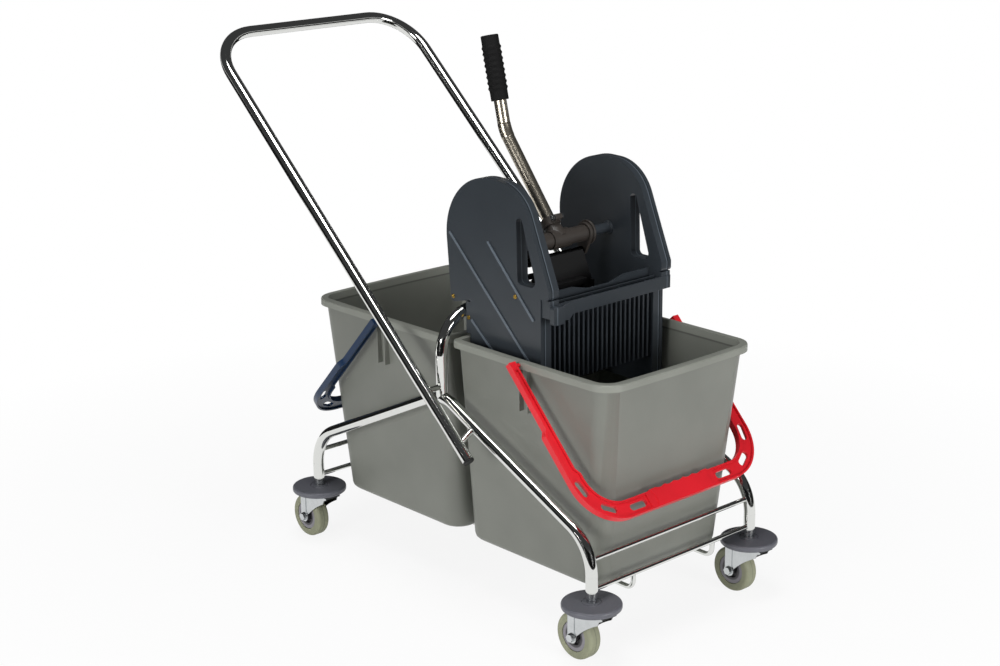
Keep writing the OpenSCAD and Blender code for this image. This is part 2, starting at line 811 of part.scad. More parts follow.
// Outline of a bail in its own plane: x across the bucket, y away from the pivots
module bail_ring(inset) {
    arm = bail_in + bail_arm - inset;
    half = bail_out - inset;
    far = bail_reach + bail_band - inset;
    r_out = bail_outer_corner - inset;
    difference() {
        union() {
            polygon([[-arm, inset - bail_end], [arm, inset - bail_end], [arm, bail_slim + inset], [half, bail_slim + bail_step + inset],
                [half, far - r_out], [half - r_out, far], [r_out - half, far], [-half, far - r_out],
                [-half, bail_slim + bail_step + inset], [-arm, bail_slim + inset]]);
            for (side = [-1, 1])
                translate([side * (half - r_out), far - r_out])
                    circle(r = r_out);
        }
        bail_inside(inset);
    }
}

// The space inside a bail, a little narrower past its second step
module bail_inside(inset) {
    wide = bail_in + inset;
    narrow = wide - bail_lip;
    far = bail_reach + inset;
    r_in = bail_corner + inset;
    polygon([[-wide, -bail_reach], [wide, -bail_reach], [wide, bail_knee], [narrow, bail_knee + bail_step],
        [narrow, far - r_in], [narrow - r_in, far], [r_in - narrow, far], [-narrow, far - r_in],
        [-narrow, bail_knee + bail_step], [-wide, bail_knee]]);
    for (side = [-1, 1])
        translate([side * (narrow - r_in), far - r_in])
            circle(r = r_in);
}

module bail_slots() {
    mid_in = bail_in - bail_lip - bail_corner;
    slot_w = 11;
    slot_r = bail_corner + (bail_out - bail_in + bail_lip) / 2;
    for (side = [-1, 1])
        for (angle = [12, 58])
            translate([side * mid_in, bail_reach - bail_corner])
                rotate(side > 0 ? angle : 180 - angle)
                    translate([slot_r, 0])
                        rotate(90)
                            belt([[-9, 0, slot_w / 2], [9, 0, slot_w / 2]]);
    for (side = [-1, 1])
        translate([side * (grip_len / 2 + 32), bail_reach + bail_band / 2])
            belt([[-12, 0, slot_w / 2], [12, 0, slot_w / 2]]);
}

// Raised grip pad with a scalloped inner edge and hollow ends
module bail_grip() {
    scallops = 5;
    pitch = (grip_len - 24) / scallops;
    end_r = bail_band * 0.8;
    difference() {
        translate([-grip_len / 2, bail_reach - 2])
            square([grip_len, bail_band + 2]);
        for (i = [0:scallops - 1])
            translate([(i + 0.5) * pitch - grip_len / 2 + 12, bail_reach - 2 - pitch * 0.9])
                circle(r = pitch);
        for (side = [-1, 1])
            translate([side * (grip_len / 2 + end_r - 5), bail_reach + bail_band / 2])
                circle(r = end_r);
    }
}

module bail_flat() {
    web_gap = (bail_thick - bail_web) / 2;
    difference() {
        linear_extrude(bail_thick, center = true)
            bail_ring(0);
        for (face = [-1, 1])
            translate([0, 0, face * (bail_thick / 2 - web_gap / 2 + 0.5)])
                linear_extrude(web_gap + 1, center = true)
                    difference() {
                        bail_ring(bail_edge);
                        translate([-bail_out, -2 * bail_end])
                            square([2 * bail_out, 2 * bail_end + 8]);
                        translate([-grip_len / 2 - 10, bail_reach - 10])
                            square([grip_len + 20, 2 * bail_band]);
                    }
        linear_extrude(2 * bail_thick, center = true)
            bail_slots();
    }
}

module bail(paint) {
    pad_t = bail_thick + 2;
    color(paint)
        translate([bail_x, 0, bail_z])
            rotate([0, bail_drop, 0])
                rotate([0, 0, -90]) {
                    difference() {
                        union() {
                            bail_flat();
                            linear_extrude(pad_t, center = true)
                                bail_grip();
                        }
                        translate([-grip_len / 2, 0, -bail_thick])
                            cube([grip_len, bail_reach - 2, 2 * bail_thick]);
                    }
                    for (side = [-1, 1])
                        rotate([0, side * 90, 0])
                            translate([0, 0, rim_w - rim_lip + 1.3])
                                cylinder(r = pin_r, h = bail_in - rim_w + rim_lip);
                }
}

// Wringer cheek outline drawn in by inset: a domed upper part over a narrower lower part
module cheek_outline(inset = 0) {
    lip_r = 8;
    front_r = 6;
    shoulder_r = 77;
    foot_r = 14;
    low_top_z = bar_z + 30;
    belt([[dome_x - dome_r + 16, roof_z + lip_r, lip_r - inset],
        [cheek_front_x + 11, bar_z + 22, front_r - inset],
        [dome_x + 17, dome_z + 22.5, shoulder_r - inset], [dome_x, dome_z, dome_r - inset]]);
    belt([[cheek_rear_x + foot_r, cheek_low_z + foot_r, foot_r - inset],
        [cheek_front_x - foot_r, cheek_low_z + foot_r, foot_r - inset],
        [cheek_front_x - foot_r, low_top_z, foot_r - inset], [cheek_rear_x + foot_r, low_top_z, foot_r - inset]]);
    translate([tube_r + hang_gap + inset, rim_z + 6 + inset])
        square([cheek_rear_x + foot_r, roof_z - rim_z]);
}

// Finger hole behind the cheek's front edge
module finger_hole() {
    belt([[dome_x + 71, dome_z - 46, 8], [dome_x + 92, dome_z - 44, 10], [dome_x + 68, dome_z + 42, 7]]);
}

// Ridges and screws from the hoop's middle
RIDGES = [[[-24, 121], [155, -53]], [[65, 120], [164, 16]], [[25, -13], [71, -52]]];
SCREWS = [[-20, 18], [124, 45], [16, -10]];
screw_r = 3.5;

module cheek(side) {
    color(ANTHRACITE)
        mirror([0, side > 0 ? 0 : 1, 0])
            difference() {
                union() {
                    upright(cheek_in, cheek_t - groove_y)
                        cheek_outline();
                    upright(cheek_y - groove_y - 1, groove_w + 2)
                        cheek_outline(groove_w);
                    upright(cheek_y - groove_y + groove_w, groove_y - groove_w)
                        cheek_outline();
                    for (r = RIDGES)
                        upright(cheek_y - 1, 1 + ridge_h)
                            belt([[r[0].x, hoop_z + r[0].y, ridge_w / 2], [r[1].x, hoop_z + r[1].y, ridge_w / 2]]);
                }
                cross_pin(shaft_x, shaft_z, cheek_in - 1, cheek_in + shaft_seat + 1, shaft_d / 2 + run_gap);
                cross_pin(jaw_x, jaw_pin_z, cheek_in - 1, cheek_in + shaft_seat + 1, jaw_pin_d / 2 + run_gap);
                cross_pin(tie_at.x, tie_at.z, cheek_in - 1, cheek_in + shaft_seat, tie_r + run_gap);
                upright(cheek_in - 1, cheek_t + 2)
                    finger_hole();
                for (s = SCREWS)
                    cross_pin(s.x, hoop_z + s.y, cheek_y - 2, cheek_y + ridge_h + 1, screw_r + weld_gap);
            }
}

module cheek_screws() {
    color(BRASS)
        for (side = [-1, 1])
            mirror([0, side > 0 ? 0 : 1, 0])
                for (s = SCREWS)
                    cross_pin(s.x, hoop_z + s.y, cheek_y - 2, cheek_y + 1.2, screw_r);
}

// Channel bar across the front, open at the top, with a higher block at each end
module front_bar() {
    half = cheek_y - 2;
    low = bar_z - bar_h;
    block = half - cheek_in;
    bar_rib = 2.5;
    end_y = cheek_in + bar_rib / 2;
    bar_rib_y = [-end_y, -0.78 * cheek_in, -0.26 * cheek_in, 0.26 * cheek_in, 0.78 * cheek_in, end_y];
    color(ANTHRACITE)
        difference() {
            union() {
                translate([cheek_front_x, -half, low])
                    cube([bar_t, 2 * half, bar_h]);
                for (y0 = [-half, cheek_in])
                    translate([cheek_front_x, y0, low + 1])
                        cube([bar_t - 1, block, bar_h + 6]);
            }
            for (i = [0:4])
                translate([cheek_front_x + bar_wall, bar_rib_y[i] + bar_rib / 2, low + bar_wall])
                    cube([bar_t - 2 * bar_wall, bar_rib_y[i + 1] - bar_rib_y[i] - bar_rib, bar_h]);
            translate([cheek_front_x + bar_wall, -cheek_in, bar_z - 3])
                cube([bar_t - 2 * bar_wall, 2 * cheek_in, bar_h]);
        }
}

// Catch that clips the front bar to the right cheek
module bar_catch() {
    tab_h = 28;
    tab_w = 22;
    front = cheek_front_x + bar_t;
    color(ANTHRACITE)
        translate([front, 0, bar_z - bar_h / 2])
            rotate([90, 0, 90]) {
                linear_extrude(9)
                    translate([-cheek_y + tab_w / 2 + 2, -5])
                        belt([[3 - tab_w / 2, 3 - tab_h / 2, 3], [tab_w / 2 - 4, 4 - tab_h / 2, 4],
                            [tab_w / 2 - 4, tab_h / 2 - 4, 4], [3 - tab_w / 2, tab_h / 2 - 3, 3]]);
                linear_extrude(5)
                    translate([-cheek_in + 12, -3])
                        circle(r = 13);
            }
}

module front_grid() {
    half = cheek_in - weld_gap;
    fins = floor((cheek_in - fin_t) / fin_pitch);
    slot_w = fin_pitch - fin_t - 1;
    gusset_t = 3;
    color(ANTHRACITE)
        difference() {
            union() {
                translate([grid_back_x, 0, 0])
                    rotate([90, 0, 90])
                        linear_extrude(grid_t)
                            polygon([[-half, grid_low_z], [half, grid_low_z], [half, grid_top_z],
                                [half * 0.5, grid_top_z], [half * 0.2, grid_top_z - grid_dip],
                                [-half * 0.2, grid_top_z - grid_dip], [-half * 0.5, grid_top_z], [-half, grid_top_z]]);
                for (i = [-fins:fins])
                    translate([grid_back_x + grid_t - 1, i * fin_pitch - fin_t / 2, grid_low_z])
                        cube([fin_depth + 1, fin_t, bar_z - bar_h - grid_low_z - 1]);
                for (y = [-75, -25, 25, 75])
                    translate([grid_back_x + grid_t - 1, y - gusset_t / 2, bar_z - bar_h + 2])
                        cube([cheek_front_x - grid_back_x - grid_t + 1, gusset_t, bar_h - 8]);
            }
            for (i = [-fins:fins - 1])
                translate([grid_back_x - 1, (i + 0.5) * fin_pitch - slot_w / 2, grid_low_z + 10])
                    cube([grid_t + 2, slot_w, bar_z - bar_h - grid_low_z - 25]);
        }
}

module rear_tie_rod() {
    color(CHROME)
        cross_pin(tie_at.x, tie_at.z, -cheek_in - shaft_seat + 0.5, cheek_in + shaft_seat - 0.5, tie_r);
}

// Lever drive
module lever_shaft() {
    color(CHROME)
        cross_pin(shaft_x, shaft_z, -cheek_in - shaft_seat, cheek_in + shaft_seat, shaft_d / 2);
}

module shaft_sleeve() {
    color(BLACK)
        difference() {
            union() {
                cross_pin(shaft_x, shaft_z, -sleeve_y, sleeve_y, sleeve_r);
                for (y0 = [-sleeve_y, sleeve_y - flange_t])
                    cross_pin(shaft_x, shaft_z, y0, y0 + flange_t, flange_r);
            }
            cross_pin(shaft_x, shaft_z, -sleeve_y - 1, sleeve_y + 1, shaft_d / 2 + run_gap);
        }
}

module crank_arms() {
    boss_r = sleeve_r + 4;
    eye_r = push_r + 4;
    color(BLACK)
        for (side = [-1, 1])
            difference() {
                upright(side * crank_y - crank_t / 2, crank_t)
                    belt([[shaft_x, shaft_z, boss_r], [push_x, push_z, eye_r]]);
                cross_pin(shaft_x, shaft_z, -cheek_y, cheek_y, sleeve_r + weld_gap);
                cross_pin(push_x, push_z, -cheek_y, cheek_y, push_r + run_gap);
            }
}

module push_rod() {
    color(CHROME)
        cross_pin(push_x, push_z, -crank_y - crank_t, crank_y + crank_t, push_r);
}

// Moulded saddle on the sleeve that holds the lever
module lever_socket() {
    saddle_y = 20;
    color(BLACK)
        difference() {
            union() {
                cross_pin(shaft_x, shaft_z, -saddle_y, saddle_y, sleeve_r + 2.5);
                translate(shaft_at)
                    rotate([0, -lever_lean, 0]) {
                        cylinder(r1 = holder_foot + 2, r2 = holder_r, h = holder_len - 14);
                        cylinder(r = holder_r, h = holder_len);
                    }
            }
            cross_pin(shaft_x, shaft_z, -saddle_y - 1, saddle_y + 1, sleeve_r + weld_gap);
            rod(shaft_at + lever_dir * lever_start, shaft_at + lever_dir * (holder_len + 1), lever_d + 2 * weld_gap);
        }
}

// Ring clamped round the socket's mouth, with its bolt lug at the front
module socket_clamp() {
    ring_h = 12;
    low = shaft_at + lever_dir * (holder_len - ring_h - 2);
    high = shaft_at + lever_dir * (holder_len - 2);
    color(BLACK)
        difference() {
            union() {
                rod(low, high, 2 * (holder_r + 3));
                rod(clamp_at - [0, 7, 0], clamp_at + [0, 7, 0], ring_h - 2);
            }
            rod(low - lever_dir, high + lever_dir, 2 * (holder_r + weld_gap));
            rod(clamp_at - [0, 20, 0], clamp_at + [0, 20, 0], 5 + 2 * run_gap);
        }
}
clamp_at = shaft_at + lever_dir * (holder_len - 8) + [cos(lever_lean), 0, sin(lever_lean)] * (holder_r + 6.5);

module clamp_bolt() {
    color(ZINC) {
        rod(clamp_at - [0, 9, 0], clamp_at + [0, 9, 0], 5);
        translate(clamp_at - [0, 11, 0])
            rotate([-90, 0, 0])
                cylinder(d = 9, h = 4, $fn = 6);
        translate(clamp_at + [0, 7, 0])
            rotate([-90, 0, 0])
                cylinder(d = 9, h = 4, $fn = 6);
    }
}

module lever_tube() {
    color(CHROME)
        tube_path([shaft_at + lever_dir * lever_start, bend_at, lever_end], [lever_r], lever_d, tube_wall);
}

// Rubber sleeve with rings, closed over the tube's end
module lever_grip() {
    cap = 4;
    collar = 15;
    rings = floor((rubber_len - 2 * collar) / rubber_pitch) + 1;
    tilt = [0, -grip_lean, 0];
    color(BLACK)
        translate(lever_end - grip_dir * (rubber_len - cap))
            rotate(tilt)
                difference() {
                    union() {
                        cylinder(r = rubber_r - 0.8, h = rubber_len);
                        for (i = [0:rings - 1])
                            translate([0, 0, collar + i * rubber_pitch])
                                cylinder(r = rubber_r + 0.5, h = rubber_pitch * 0.5);
                    }
                    translate([0, 0, -1])
                        cylinder(r = lever_d / 2 + weld_gap, h = rubber_len - cap + 1 + weld_gap);
                }
}

// Jaw plate hinged at its foot, with a narrow top in front of the push rod and a ledge above its ribs
module jaw() {
    back = jaw_x - jaw_t / 2;
    eye_r = jaw_pin_d / 2 + 5;
    wide_z = jaw_pin_z + 50;
    ledge_z = jaw_top_z - 53;
    ledge_w = jaw_neck - 5;
    color(BLACK)
        difference() {
            union() {
                translate([back, 0, 0])
                    rotate([90, 0, 90])
                        linear_extrude(jaw_t)
                            polygon([[-jaw_w, jaw_pin_z], [jaw_w, jaw_pin_z], [jaw_w, wide_z], [jaw_neck, jaw_top_z],
                                [-jaw_neck, jaw_top_z], [-jaw_w, wide_z]]);
                cross_pin(jaw_x, jaw_pin_z, -jaw_w, jaw_w, eye_r);
                for (y = [-3:3])
                    translate([back + jaw_t - 1, y * jaw_w / 5 - 2, jaw_pin_z + 20])
                        cube([jaw_rib + 1, 4, ledge_z - jaw_pin_z - 19]);
                translate([back + jaw_t - 1, -ledge_w, ledge_z])
                    cube([ledge_d + 1, 2 * ledge_w, 10]);
            }
            cross_pin(jaw_x, jaw_pin_z, -cheek_y, cheek_y, jaw_pin_d / 2 + run_gap);
        }
}

module jaw_pin() {
    color(CHROME)
        cross_pin(jaw_x, jaw_pin_z, -cheek_in - shaft_seat, cheek_in + shaft_seat, jaw_pin_d / 2);
}

in_frame() {
    side_rail(-1);  // side_rail_right
    side_rail(1);  // side_rail_left
    hoop();
    upper_bar(1);  // front_upper_bar
    lower_bar(1);  // front_lower_bar
    upper_bar(-1);  // rear_upper_bar
    lower_bar(-1);  // rear_lower_bar
    cradle_rod(-1);  // cradle_rod_right
    cradle_rod(1);  // cradle_rod_left
    push_handle();
    handle_spacers();
    handle_end_plugs();
    for (i = [0:len(CORNERS) - 1])
        at_corner(i) {
            stem();
            bumper();
            fork();
            axle();
            hub();
            tyre();
        }
    bucket();  // front_bucket
    mirror([1, 0, 0]) bucket();  // rear_bucket
    bail(RED);  // front_bail
    mirror([1, 0, 0]) bail(BLUE);  // rear_bail
    cheek(-1);  // cheek_right
    cheek(1);  // cheek_left
    front_bar();
    front_grid();
    bar_catch();
    rear_tie_rod();
    cheek_screws();
    lever_shaft();
    shaft_sleeve();
    crank_arms();
    push_rod();
    lever_socket();
    socket_clamp();
    clamp_bolt();
    lever_tube();
    lever_grip();
    jaw();
    jaw_pin();
}
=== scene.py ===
"""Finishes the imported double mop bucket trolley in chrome, plastic and rubber, in a plain studio.

All sizes are in metres in the trolley's own frame: +X front, +Y left, +Z up, floor at zero.
"""

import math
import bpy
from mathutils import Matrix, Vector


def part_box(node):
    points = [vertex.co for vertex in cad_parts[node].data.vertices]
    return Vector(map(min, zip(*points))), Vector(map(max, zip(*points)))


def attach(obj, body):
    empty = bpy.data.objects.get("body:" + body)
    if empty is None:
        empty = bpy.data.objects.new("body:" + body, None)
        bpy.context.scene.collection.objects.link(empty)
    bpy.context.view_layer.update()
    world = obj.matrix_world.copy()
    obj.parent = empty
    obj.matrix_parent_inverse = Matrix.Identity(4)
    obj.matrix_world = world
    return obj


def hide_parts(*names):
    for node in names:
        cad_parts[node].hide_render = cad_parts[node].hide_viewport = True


bl_info = {
    "name": "Double Mop Bucket Trolley",
    "version": (1, 0, 0),
    "blender": (4, 5, 0),
    "location": "View3D > Sidebar > Trolley",
    "description": "Finishes the packed trolley in chrome, plastic and rubber, in a plain studio",
    "category": "Object",
}

import bmesh
import bpy
from bpy.props import FloatProperty, FloatVectorProperty, PointerProperty
from mathutils import Matrix, Vector

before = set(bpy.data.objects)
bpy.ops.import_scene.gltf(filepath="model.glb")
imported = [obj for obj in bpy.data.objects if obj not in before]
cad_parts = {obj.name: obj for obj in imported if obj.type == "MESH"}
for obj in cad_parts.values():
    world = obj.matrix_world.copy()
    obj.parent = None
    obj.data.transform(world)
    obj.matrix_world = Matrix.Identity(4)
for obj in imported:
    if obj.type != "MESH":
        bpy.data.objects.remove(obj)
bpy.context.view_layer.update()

MM = 0.001

# Vertices of a copy that lie closer than this are one
SAME_PLACE = 1e-6
# Faces of a copy that turn by less than this are one
FLAT = math.radians(0.5)
# Edges that turn by more than this are rounded
ROUNDED_FROM = math.radians(30)
# Edges that turn by more than this stay sharp in the shading
SHARP_FROM = math.radians(35)
# Steps of a full turn of a small turned piece
TURN_STEPS = 40
# How far a cheek's outer face stands outside the front bar's end
CHEEK_PROUD = 2 * MM

CORNERS = ("front_right", "front_left", "rear_right", "rear_left")
TUBES = ("side_rail_right", "side_rail_left", "hoop", "push_handle")
RODS = ("front_upper_bar", "front_lower_bar", "rear_upper_bar", "rear_lower_bar",
        "cradle_rod_right", "cradle_rod_left", "handle_spacers")
CHEEKS = ("cheek_right", "cheek_left")
HOUSING = ("shaft_sleeve", "lever_socket", "socket_clamp", "crank_arms")
# The wringer's rods and the bodies that carry them
DARK_RODS = {"rear_tie_rod": "trolley", "jaw_pin": "trolley",
             "lever_shaft": "lever", "push_rod": "lever"}

# Studio lamps: name, place and power in watts
LAMPS = (("Key", (0.7, -3.7, 0.9), 72),
         ("Fill", (3.9, 0.3, 0.9), 82),
         ("Top", (0.5, -0.7, 3.6), 60))
LAMP_AIM = Vector((0.1, 0, 0.4))

# The photograph's view: the camera's own right, up and back, its place, and its lens in millimetres
CAMERA_RIGHT = Vector((0.67508, 0.73767, -0.01052))
CAMERA_UP = Vector((-0.20467, 0.20097, 0.95798))
CAMERA_BACK = Vector((0.70878, -0.64456, 0.28665))
CAMERA_PLACE = Vector((2.24731, -2.01559, 1.29362))
CAMERA_LENS = 67.83
CAMERA_SENSOR = 36


def linear(code):
    """The linear colour of an sRGB hex code."""
    parts = [int(code[i:i + 2], 16) / 255 for i in (0, 2, 4)]
    return tuple(c / 12.92 if c <= 0.04045 else ((c + 0.055) / 1.055) ** 2.4 for c in parts)


def colour(name, description, code):
    """A colour property whose default is an sRGB hex code."""
    return FloatVectorProperty(name=name, description=description, subtype="COLOR",
                               min=0, max=1, default=linear(code))


def length(name, description, millimetres):
    """A length property whose default is in millimetres."""
    return FloatProperty(name=name, description=description, subtype="DISTANCE", unit="LENGTH",
                         min=0, default=millimetres * MM)


class TrolleyColours(bpy.types.PropertyGroup):
    """Colours of the trolley's finishes."""

    chrome: colour("Chrome", "Bright chrome plate on the tubes and rods", "dcddda")
    zinc: colour("Zinc", "Clear zinc plate on forks, axles and stems", "c9cccd")
    nickel: colour("Lever", "Nickel plate on the lever's tube", "d6cdbc")
    phosphate: colour("Dark rods", "Black phosphate on the wringer's rods", "2c2c2e")
    brass: colour("Screws", "Yellow passivated screw heads", "c9a550")
    bucket: colour("Buckets", "Grey polypropylene of the buckets", "72746d")
    anthracite: colour("Wringer", "Anthracite polypropylene of the wringer's cheeks", "30353a")
    housing: colour("Lever housing", "Dark polyamide of the lever's housing", "38332f")
    black: colour("Jaw", "Black polypropylene of the jaw and plugs", "070708")
    red: colour("Front bail", "Red polypropylene", "d41c28")
    blue: colour("Rear bail", "Dark blue polypropylene", "0a2746")
    bumper: colour("Bumpers", "Dark grey bumper discs", "5a5b62")
    hub: colour("Hubs", "Grey wheel centres", "858288")
    tyre: colour("Tyres", "Grey-green non-marking rubber", "8a8c74")
    rubber: colour("Grip", "Black rubber of the lever's grip", "0a0a0a")
    floor: colour("Floor", "Pale studio floor", "f6f6f6")


class TrolleySizes(bpy.types.PropertyGroup):
    """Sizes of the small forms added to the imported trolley."""

    plastic_edge: length("Plastic edge", "Rounding of moulded edges", 1.2)
    cheek_edge: length("Cheek edge", "Rounding of the wringer cheeks' outline", 5.5)
    bumper_edge: length("Bumper edge", "Rounding of the bumper discs' rims", 3.5)
    groove_edge: length("Fine edge", "Rounding of fins, ridges and wheel centres", 0.7)
    metal_edge: length("Metal edge", "Rounding of pressed steel edges", 0.5)
    crown_rise: length("Crown rise", "How far a fork's crown rises to its bumper disc", 5.5)
    toe_drop: length("Toe drop", "How far the cheeks' toes come down to the front bar", 9)
    lever_growth: length("Lever growth", "How much the lever's tube outgrows its solid", 1.8)
    grip_lean: FloatProperty(name="Grip lean", description="Lean of the grip behind upright",
                             subtype="ANGLE", unit="ROTATION", default=math.radians(13.3))
    # Real eroded grain is about 0.2 mm wide, too fine to show, so it is drawn coarser
    plastic_grain: length("Plastic grain", "Spacing of the moulded texture", 1.6)
    tyre_seam: length("Tyre seam", "Width of the mould seam round a tyre", 0.9)
    lamp_size: length("Lamp size", "Width of a studio softbox", 1400)


def add_node(tree, kind, links=None, **settings):
    """Adds a shader node: settings go on the node, links maps an input to a value or an output."""
    node = tree.nodes.new("ShaderNode" + kind)
    for name, value in settings.items():
        setattr(node, name, value)
    for name, value in (links or {}).items():
        if isinstance(value, bpy.types.NodeSocket):
            tree.links.new(value, node.inputs[name])
        else:
            node.inputs[name].default_value = value
    return node


def new_material(name):
    """An empty node material and its tree."""
    material = bpy.data.materials.new(name)
    material.use_nodes = True
    material.node_tree.nodes.clear()
    return material, material.node_tree


def distance_off(tree, value, place):
    """How far a value lies off a place, to either side."""
    off = add_node(tree, "Math", {0: value, 1: place}, operation="SUBTRACT")
    return add_node(tree, "Math", {0: off.outputs[0]}, operation="ABSOLUTE").outputs[0]


def side_distance(tree, place, track):
    """How far a point lies off two upright planes, left and right of the middle."""
    across = add_node(tree, "SeparateXYZ", {"Vector": place}).outputs["Y"]
    side = add_node(tree, "Math", {0: across}, operation="ABSOLUTE")
    return distance_off(tree, side.outputs[0], track)


def moulded_plastic(name, tint, grain, roughness, depth=0.02 * MM, spread=0.06, ior=1.49,
                    lift=None):
    """Injection-moulded plastic: a fine eroded grain breaks the gloss, and the colour drifts a
    little with the melt's flow. A lift adds nodes that paint light or shade onto some places, such
    as a painted highlight on edges or a painted shadow under a rim."""
    flow_width, mottle = 90 * MM, 0.06
    material, tree = new_material(name)
    place = add_node(tree, "TexCoord").outputs["Object"]
    erosion = add_node(tree, "TexNoise", {"Vector": place, "Scale": 1 / grain, "Detail": 3.0,
                                          "Roughness": 0.6}).outputs["Fac"]
    flow = add_node(tree, "TexNoise", {"Vector": place, "Scale": 1 / flow_width, "Detail": 2.0})
    shade = add_node(tree, "MapRange", {"Value": flow.outputs["Fac"],
                                        "From Min": 0.3, "From Max": 0.7,
                                        "To Min": 1 - mottle, "To Max": 1 + mottle})
    tone = shade.outputs["Result"]
    if lift:
        tone = add_node(tree, "Math", {0: tone, 1: lift(tree, place)},
                        operation="MULTIPLY").outputs[0]
    base = add_node(tree, "VectorMath", {0: tuple(tint), "Scale": tone}, operation="SCALE")
    rough = add_node(tree, "MapRange", {"Value": erosion, "From Min": 0.25, "From Max": 0.75,
                                        "To Min": roughness - spread,
                                        "To Max": roughness + spread})
    bump = add_node(tree, "Bump", {"Height": erosion, "Strength": 0.25, "Distance": depth})
    skin = add_node(tree, "BsdfPrincipled", {"Base Color": base.outputs["Vector"],
                                             "Roughness": rough.outputs["Result"],
                                             "Normal": bump.outputs["Normal"], "IOR": ior})
    add_node(tree, "OutputMaterial", {"Surface": skin.outputs["BSDF"]})
    return material


def chrome_plate(name, tint, clearest=0.045, haziest=0.11, waviness=0.05 * MM):
    """Bright plate on drawn tube: a mirror with a slight ripple and faint polish haze. Real polish
    marks are finer than 0.1 mm, too fine to show, so the haze is drawn coarser."""
    ripple_width, haze_width = 18 * MM, 4 * MM
    material, tree = new_material(name)
    place = add_node(tree, "TexCoord").outputs["Object"]
    ripple = add_node(tree, "TexNoise", {"Vector": place, "Scale": 1 / ripple_width,
                                         "Detail": 1.0})
    haze = add_node(tree, "TexNoise", {"Vector": place, "Scale": 1 / haze_width, "Detail": 4.0})
    rough = add_node(tree, "MapRange", {"Value": haze.outputs["Fac"],
                                        "From Min": 0.3, "From Max": 0.75,
                                        "To Min": clearest, "To Max": haziest})
    bump = add_node(tree, "Bump", {"Height": ripple.outputs["Fac"], "Strength": 0.2,
                                   "Distance": waviness})
    skin = add_node(tree, "BsdfPrincipled", {"Base Color": (*tint, 1), "Metallic": 1.0,
                                             "Roughness": rough.outputs["Result"],
                                             "Normal": bump.outputs["Normal"]})
    add_node(tree, "OutputMaterial", {"Surface": skin.outputs["BSDF"]})
    return material


def zinc_plate(name, tint, lift=None):
    """Zinc plate or phosphate on pressed steel: a soft metal sheen with cloudy spangle. A lift adds
    nodes that darken some places with painted shade, such as a hollow."""
    spangle_width, spangle_depth = 12 * MM, 0.03 * MM
    material, tree = new_material(name)
    place = add_node(tree, "TexCoord").outputs["Object"]
    cloud = add_node(tree, "TexNoise", {"Vector": place, "Scale": 1 / spangle_width,
                                        "Detail": 3.0}).outputs["Fac"]
    shade = add_node(tree, "MapRange", {"Value": cloud, "From Min": 0.3, "From Max": 0.7,
                                        "To Min": 0.94, "To Max": 1.03})
    tone = shade.outputs["Result"]
    if lift:
        tone = add_node(tree, "Math", {0: tone, 1: lift(tree, place)},
                        operation="MULTIPLY").outputs[0]
    base = add_node(tree, "VectorMath", {0: tuple(tint), "Scale": tone}, operation="SCALE")
    rough = add_node(tree, "MapRange", {"Value": cloud, "From Min": 0.3, "From Max": 0.7,
                                        "To Min": 0.2, "To Max": 0.27})
    bump = add_node(tree, "Bump", {"Height": cloud, "Strength": 0.15, "Distance": spangle_depth})
    skin = add_node(tree, "BsdfPrincipled", {"Base Color": base.outputs["Vector"],
                                             "Metallic": 1.0,
                                             "Roughness": rough.outputs["Result"],
                                             "Normal": bump.outputs["Normal"]})
    add_node(tree, "OutputMaterial", {"Surface": skin.outputs["BSDF"]})
    return material


def tyre_rubber(name, tint, seam):
    """Cast grey rubber: matt, dusty in its pores, with a thin mould seam round the middle of the
    tread. Real pores are about 0.3 mm wide, too fine to show, so they are drawn coarser."""
    pore_width, pore_depth, dust_width, seam_core = 1.5 * MM, 0.12 * MM, 20 * MM, 0.4
    material, tree = new_material(name)
    place = add_node(tree, "TexCoord").outputs["Object"]
    track = (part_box("front_left_tyre")[0].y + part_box("front_left_tyre")[1].y) / 2
    line = add_node(tree, "MapRange", {"Value": side_distance(tree, place, track),
                                       "From Min": seam * seam_core, "From Max": seam,
                                       "To Min": 1.0, "To Max": 0.0}).outputs["Result"]
    pores = add_node(tree, "TexNoise", {"Vector": place, "Scale": 1 / pore_width, "Detail": 4.0})
    dust = add_node(tree, "TexNoise", {"Vector": place, "Scale": 1 / dust_width, "Detail": 3.0})
    shade = add_node(tree, "MapRange", {"Value": dust.outputs["Fac"],
                                        "From Min": 0.3, "From Max": 0.7,
                                        "To Min": 0.9, "To Max": 1.08})
    dark = add_node(tree, "MapRange", {"Value": line, "To Min": 1.0, "To Max": 0.62})
    both = add_node(tree, "Math", {0: shade.outputs["Result"], 1: dark.outputs["Result"]},
                    operation="MULTIPLY")
    base = add_node(tree, "VectorMath", {0: tuple(tint), "Scale": both.outputs[0]},
                    operation="SCALE")
    relief = add_node(tree, "Math", {0: pores.outputs["Fac"], 1: line}, operation="SUBTRACT")
    bump = add_node(tree, "Bump", {"Height": relief.outputs[0], "Strength": 0.4,
                                   "Distance": pore_depth})
    skin = add_node(tree, "BsdfPrincipled", {"Base Color": base.outputs["Vector"],
                                             "Roughness": 0.62, "IOR": 1.5,
                                             "Normal": bump.outputs["Normal"]})
    add_node(tree, "OutputMaterial", {"Surface": skin.outputs["BSDF"]})
    return material


def dress(name, material):
    """Gives a CAD node a material."""
    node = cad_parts[name]
    if not node.material_slots:
        node.data.materials.append(material)
    for holder in node.material_slots:
        holder.material = material


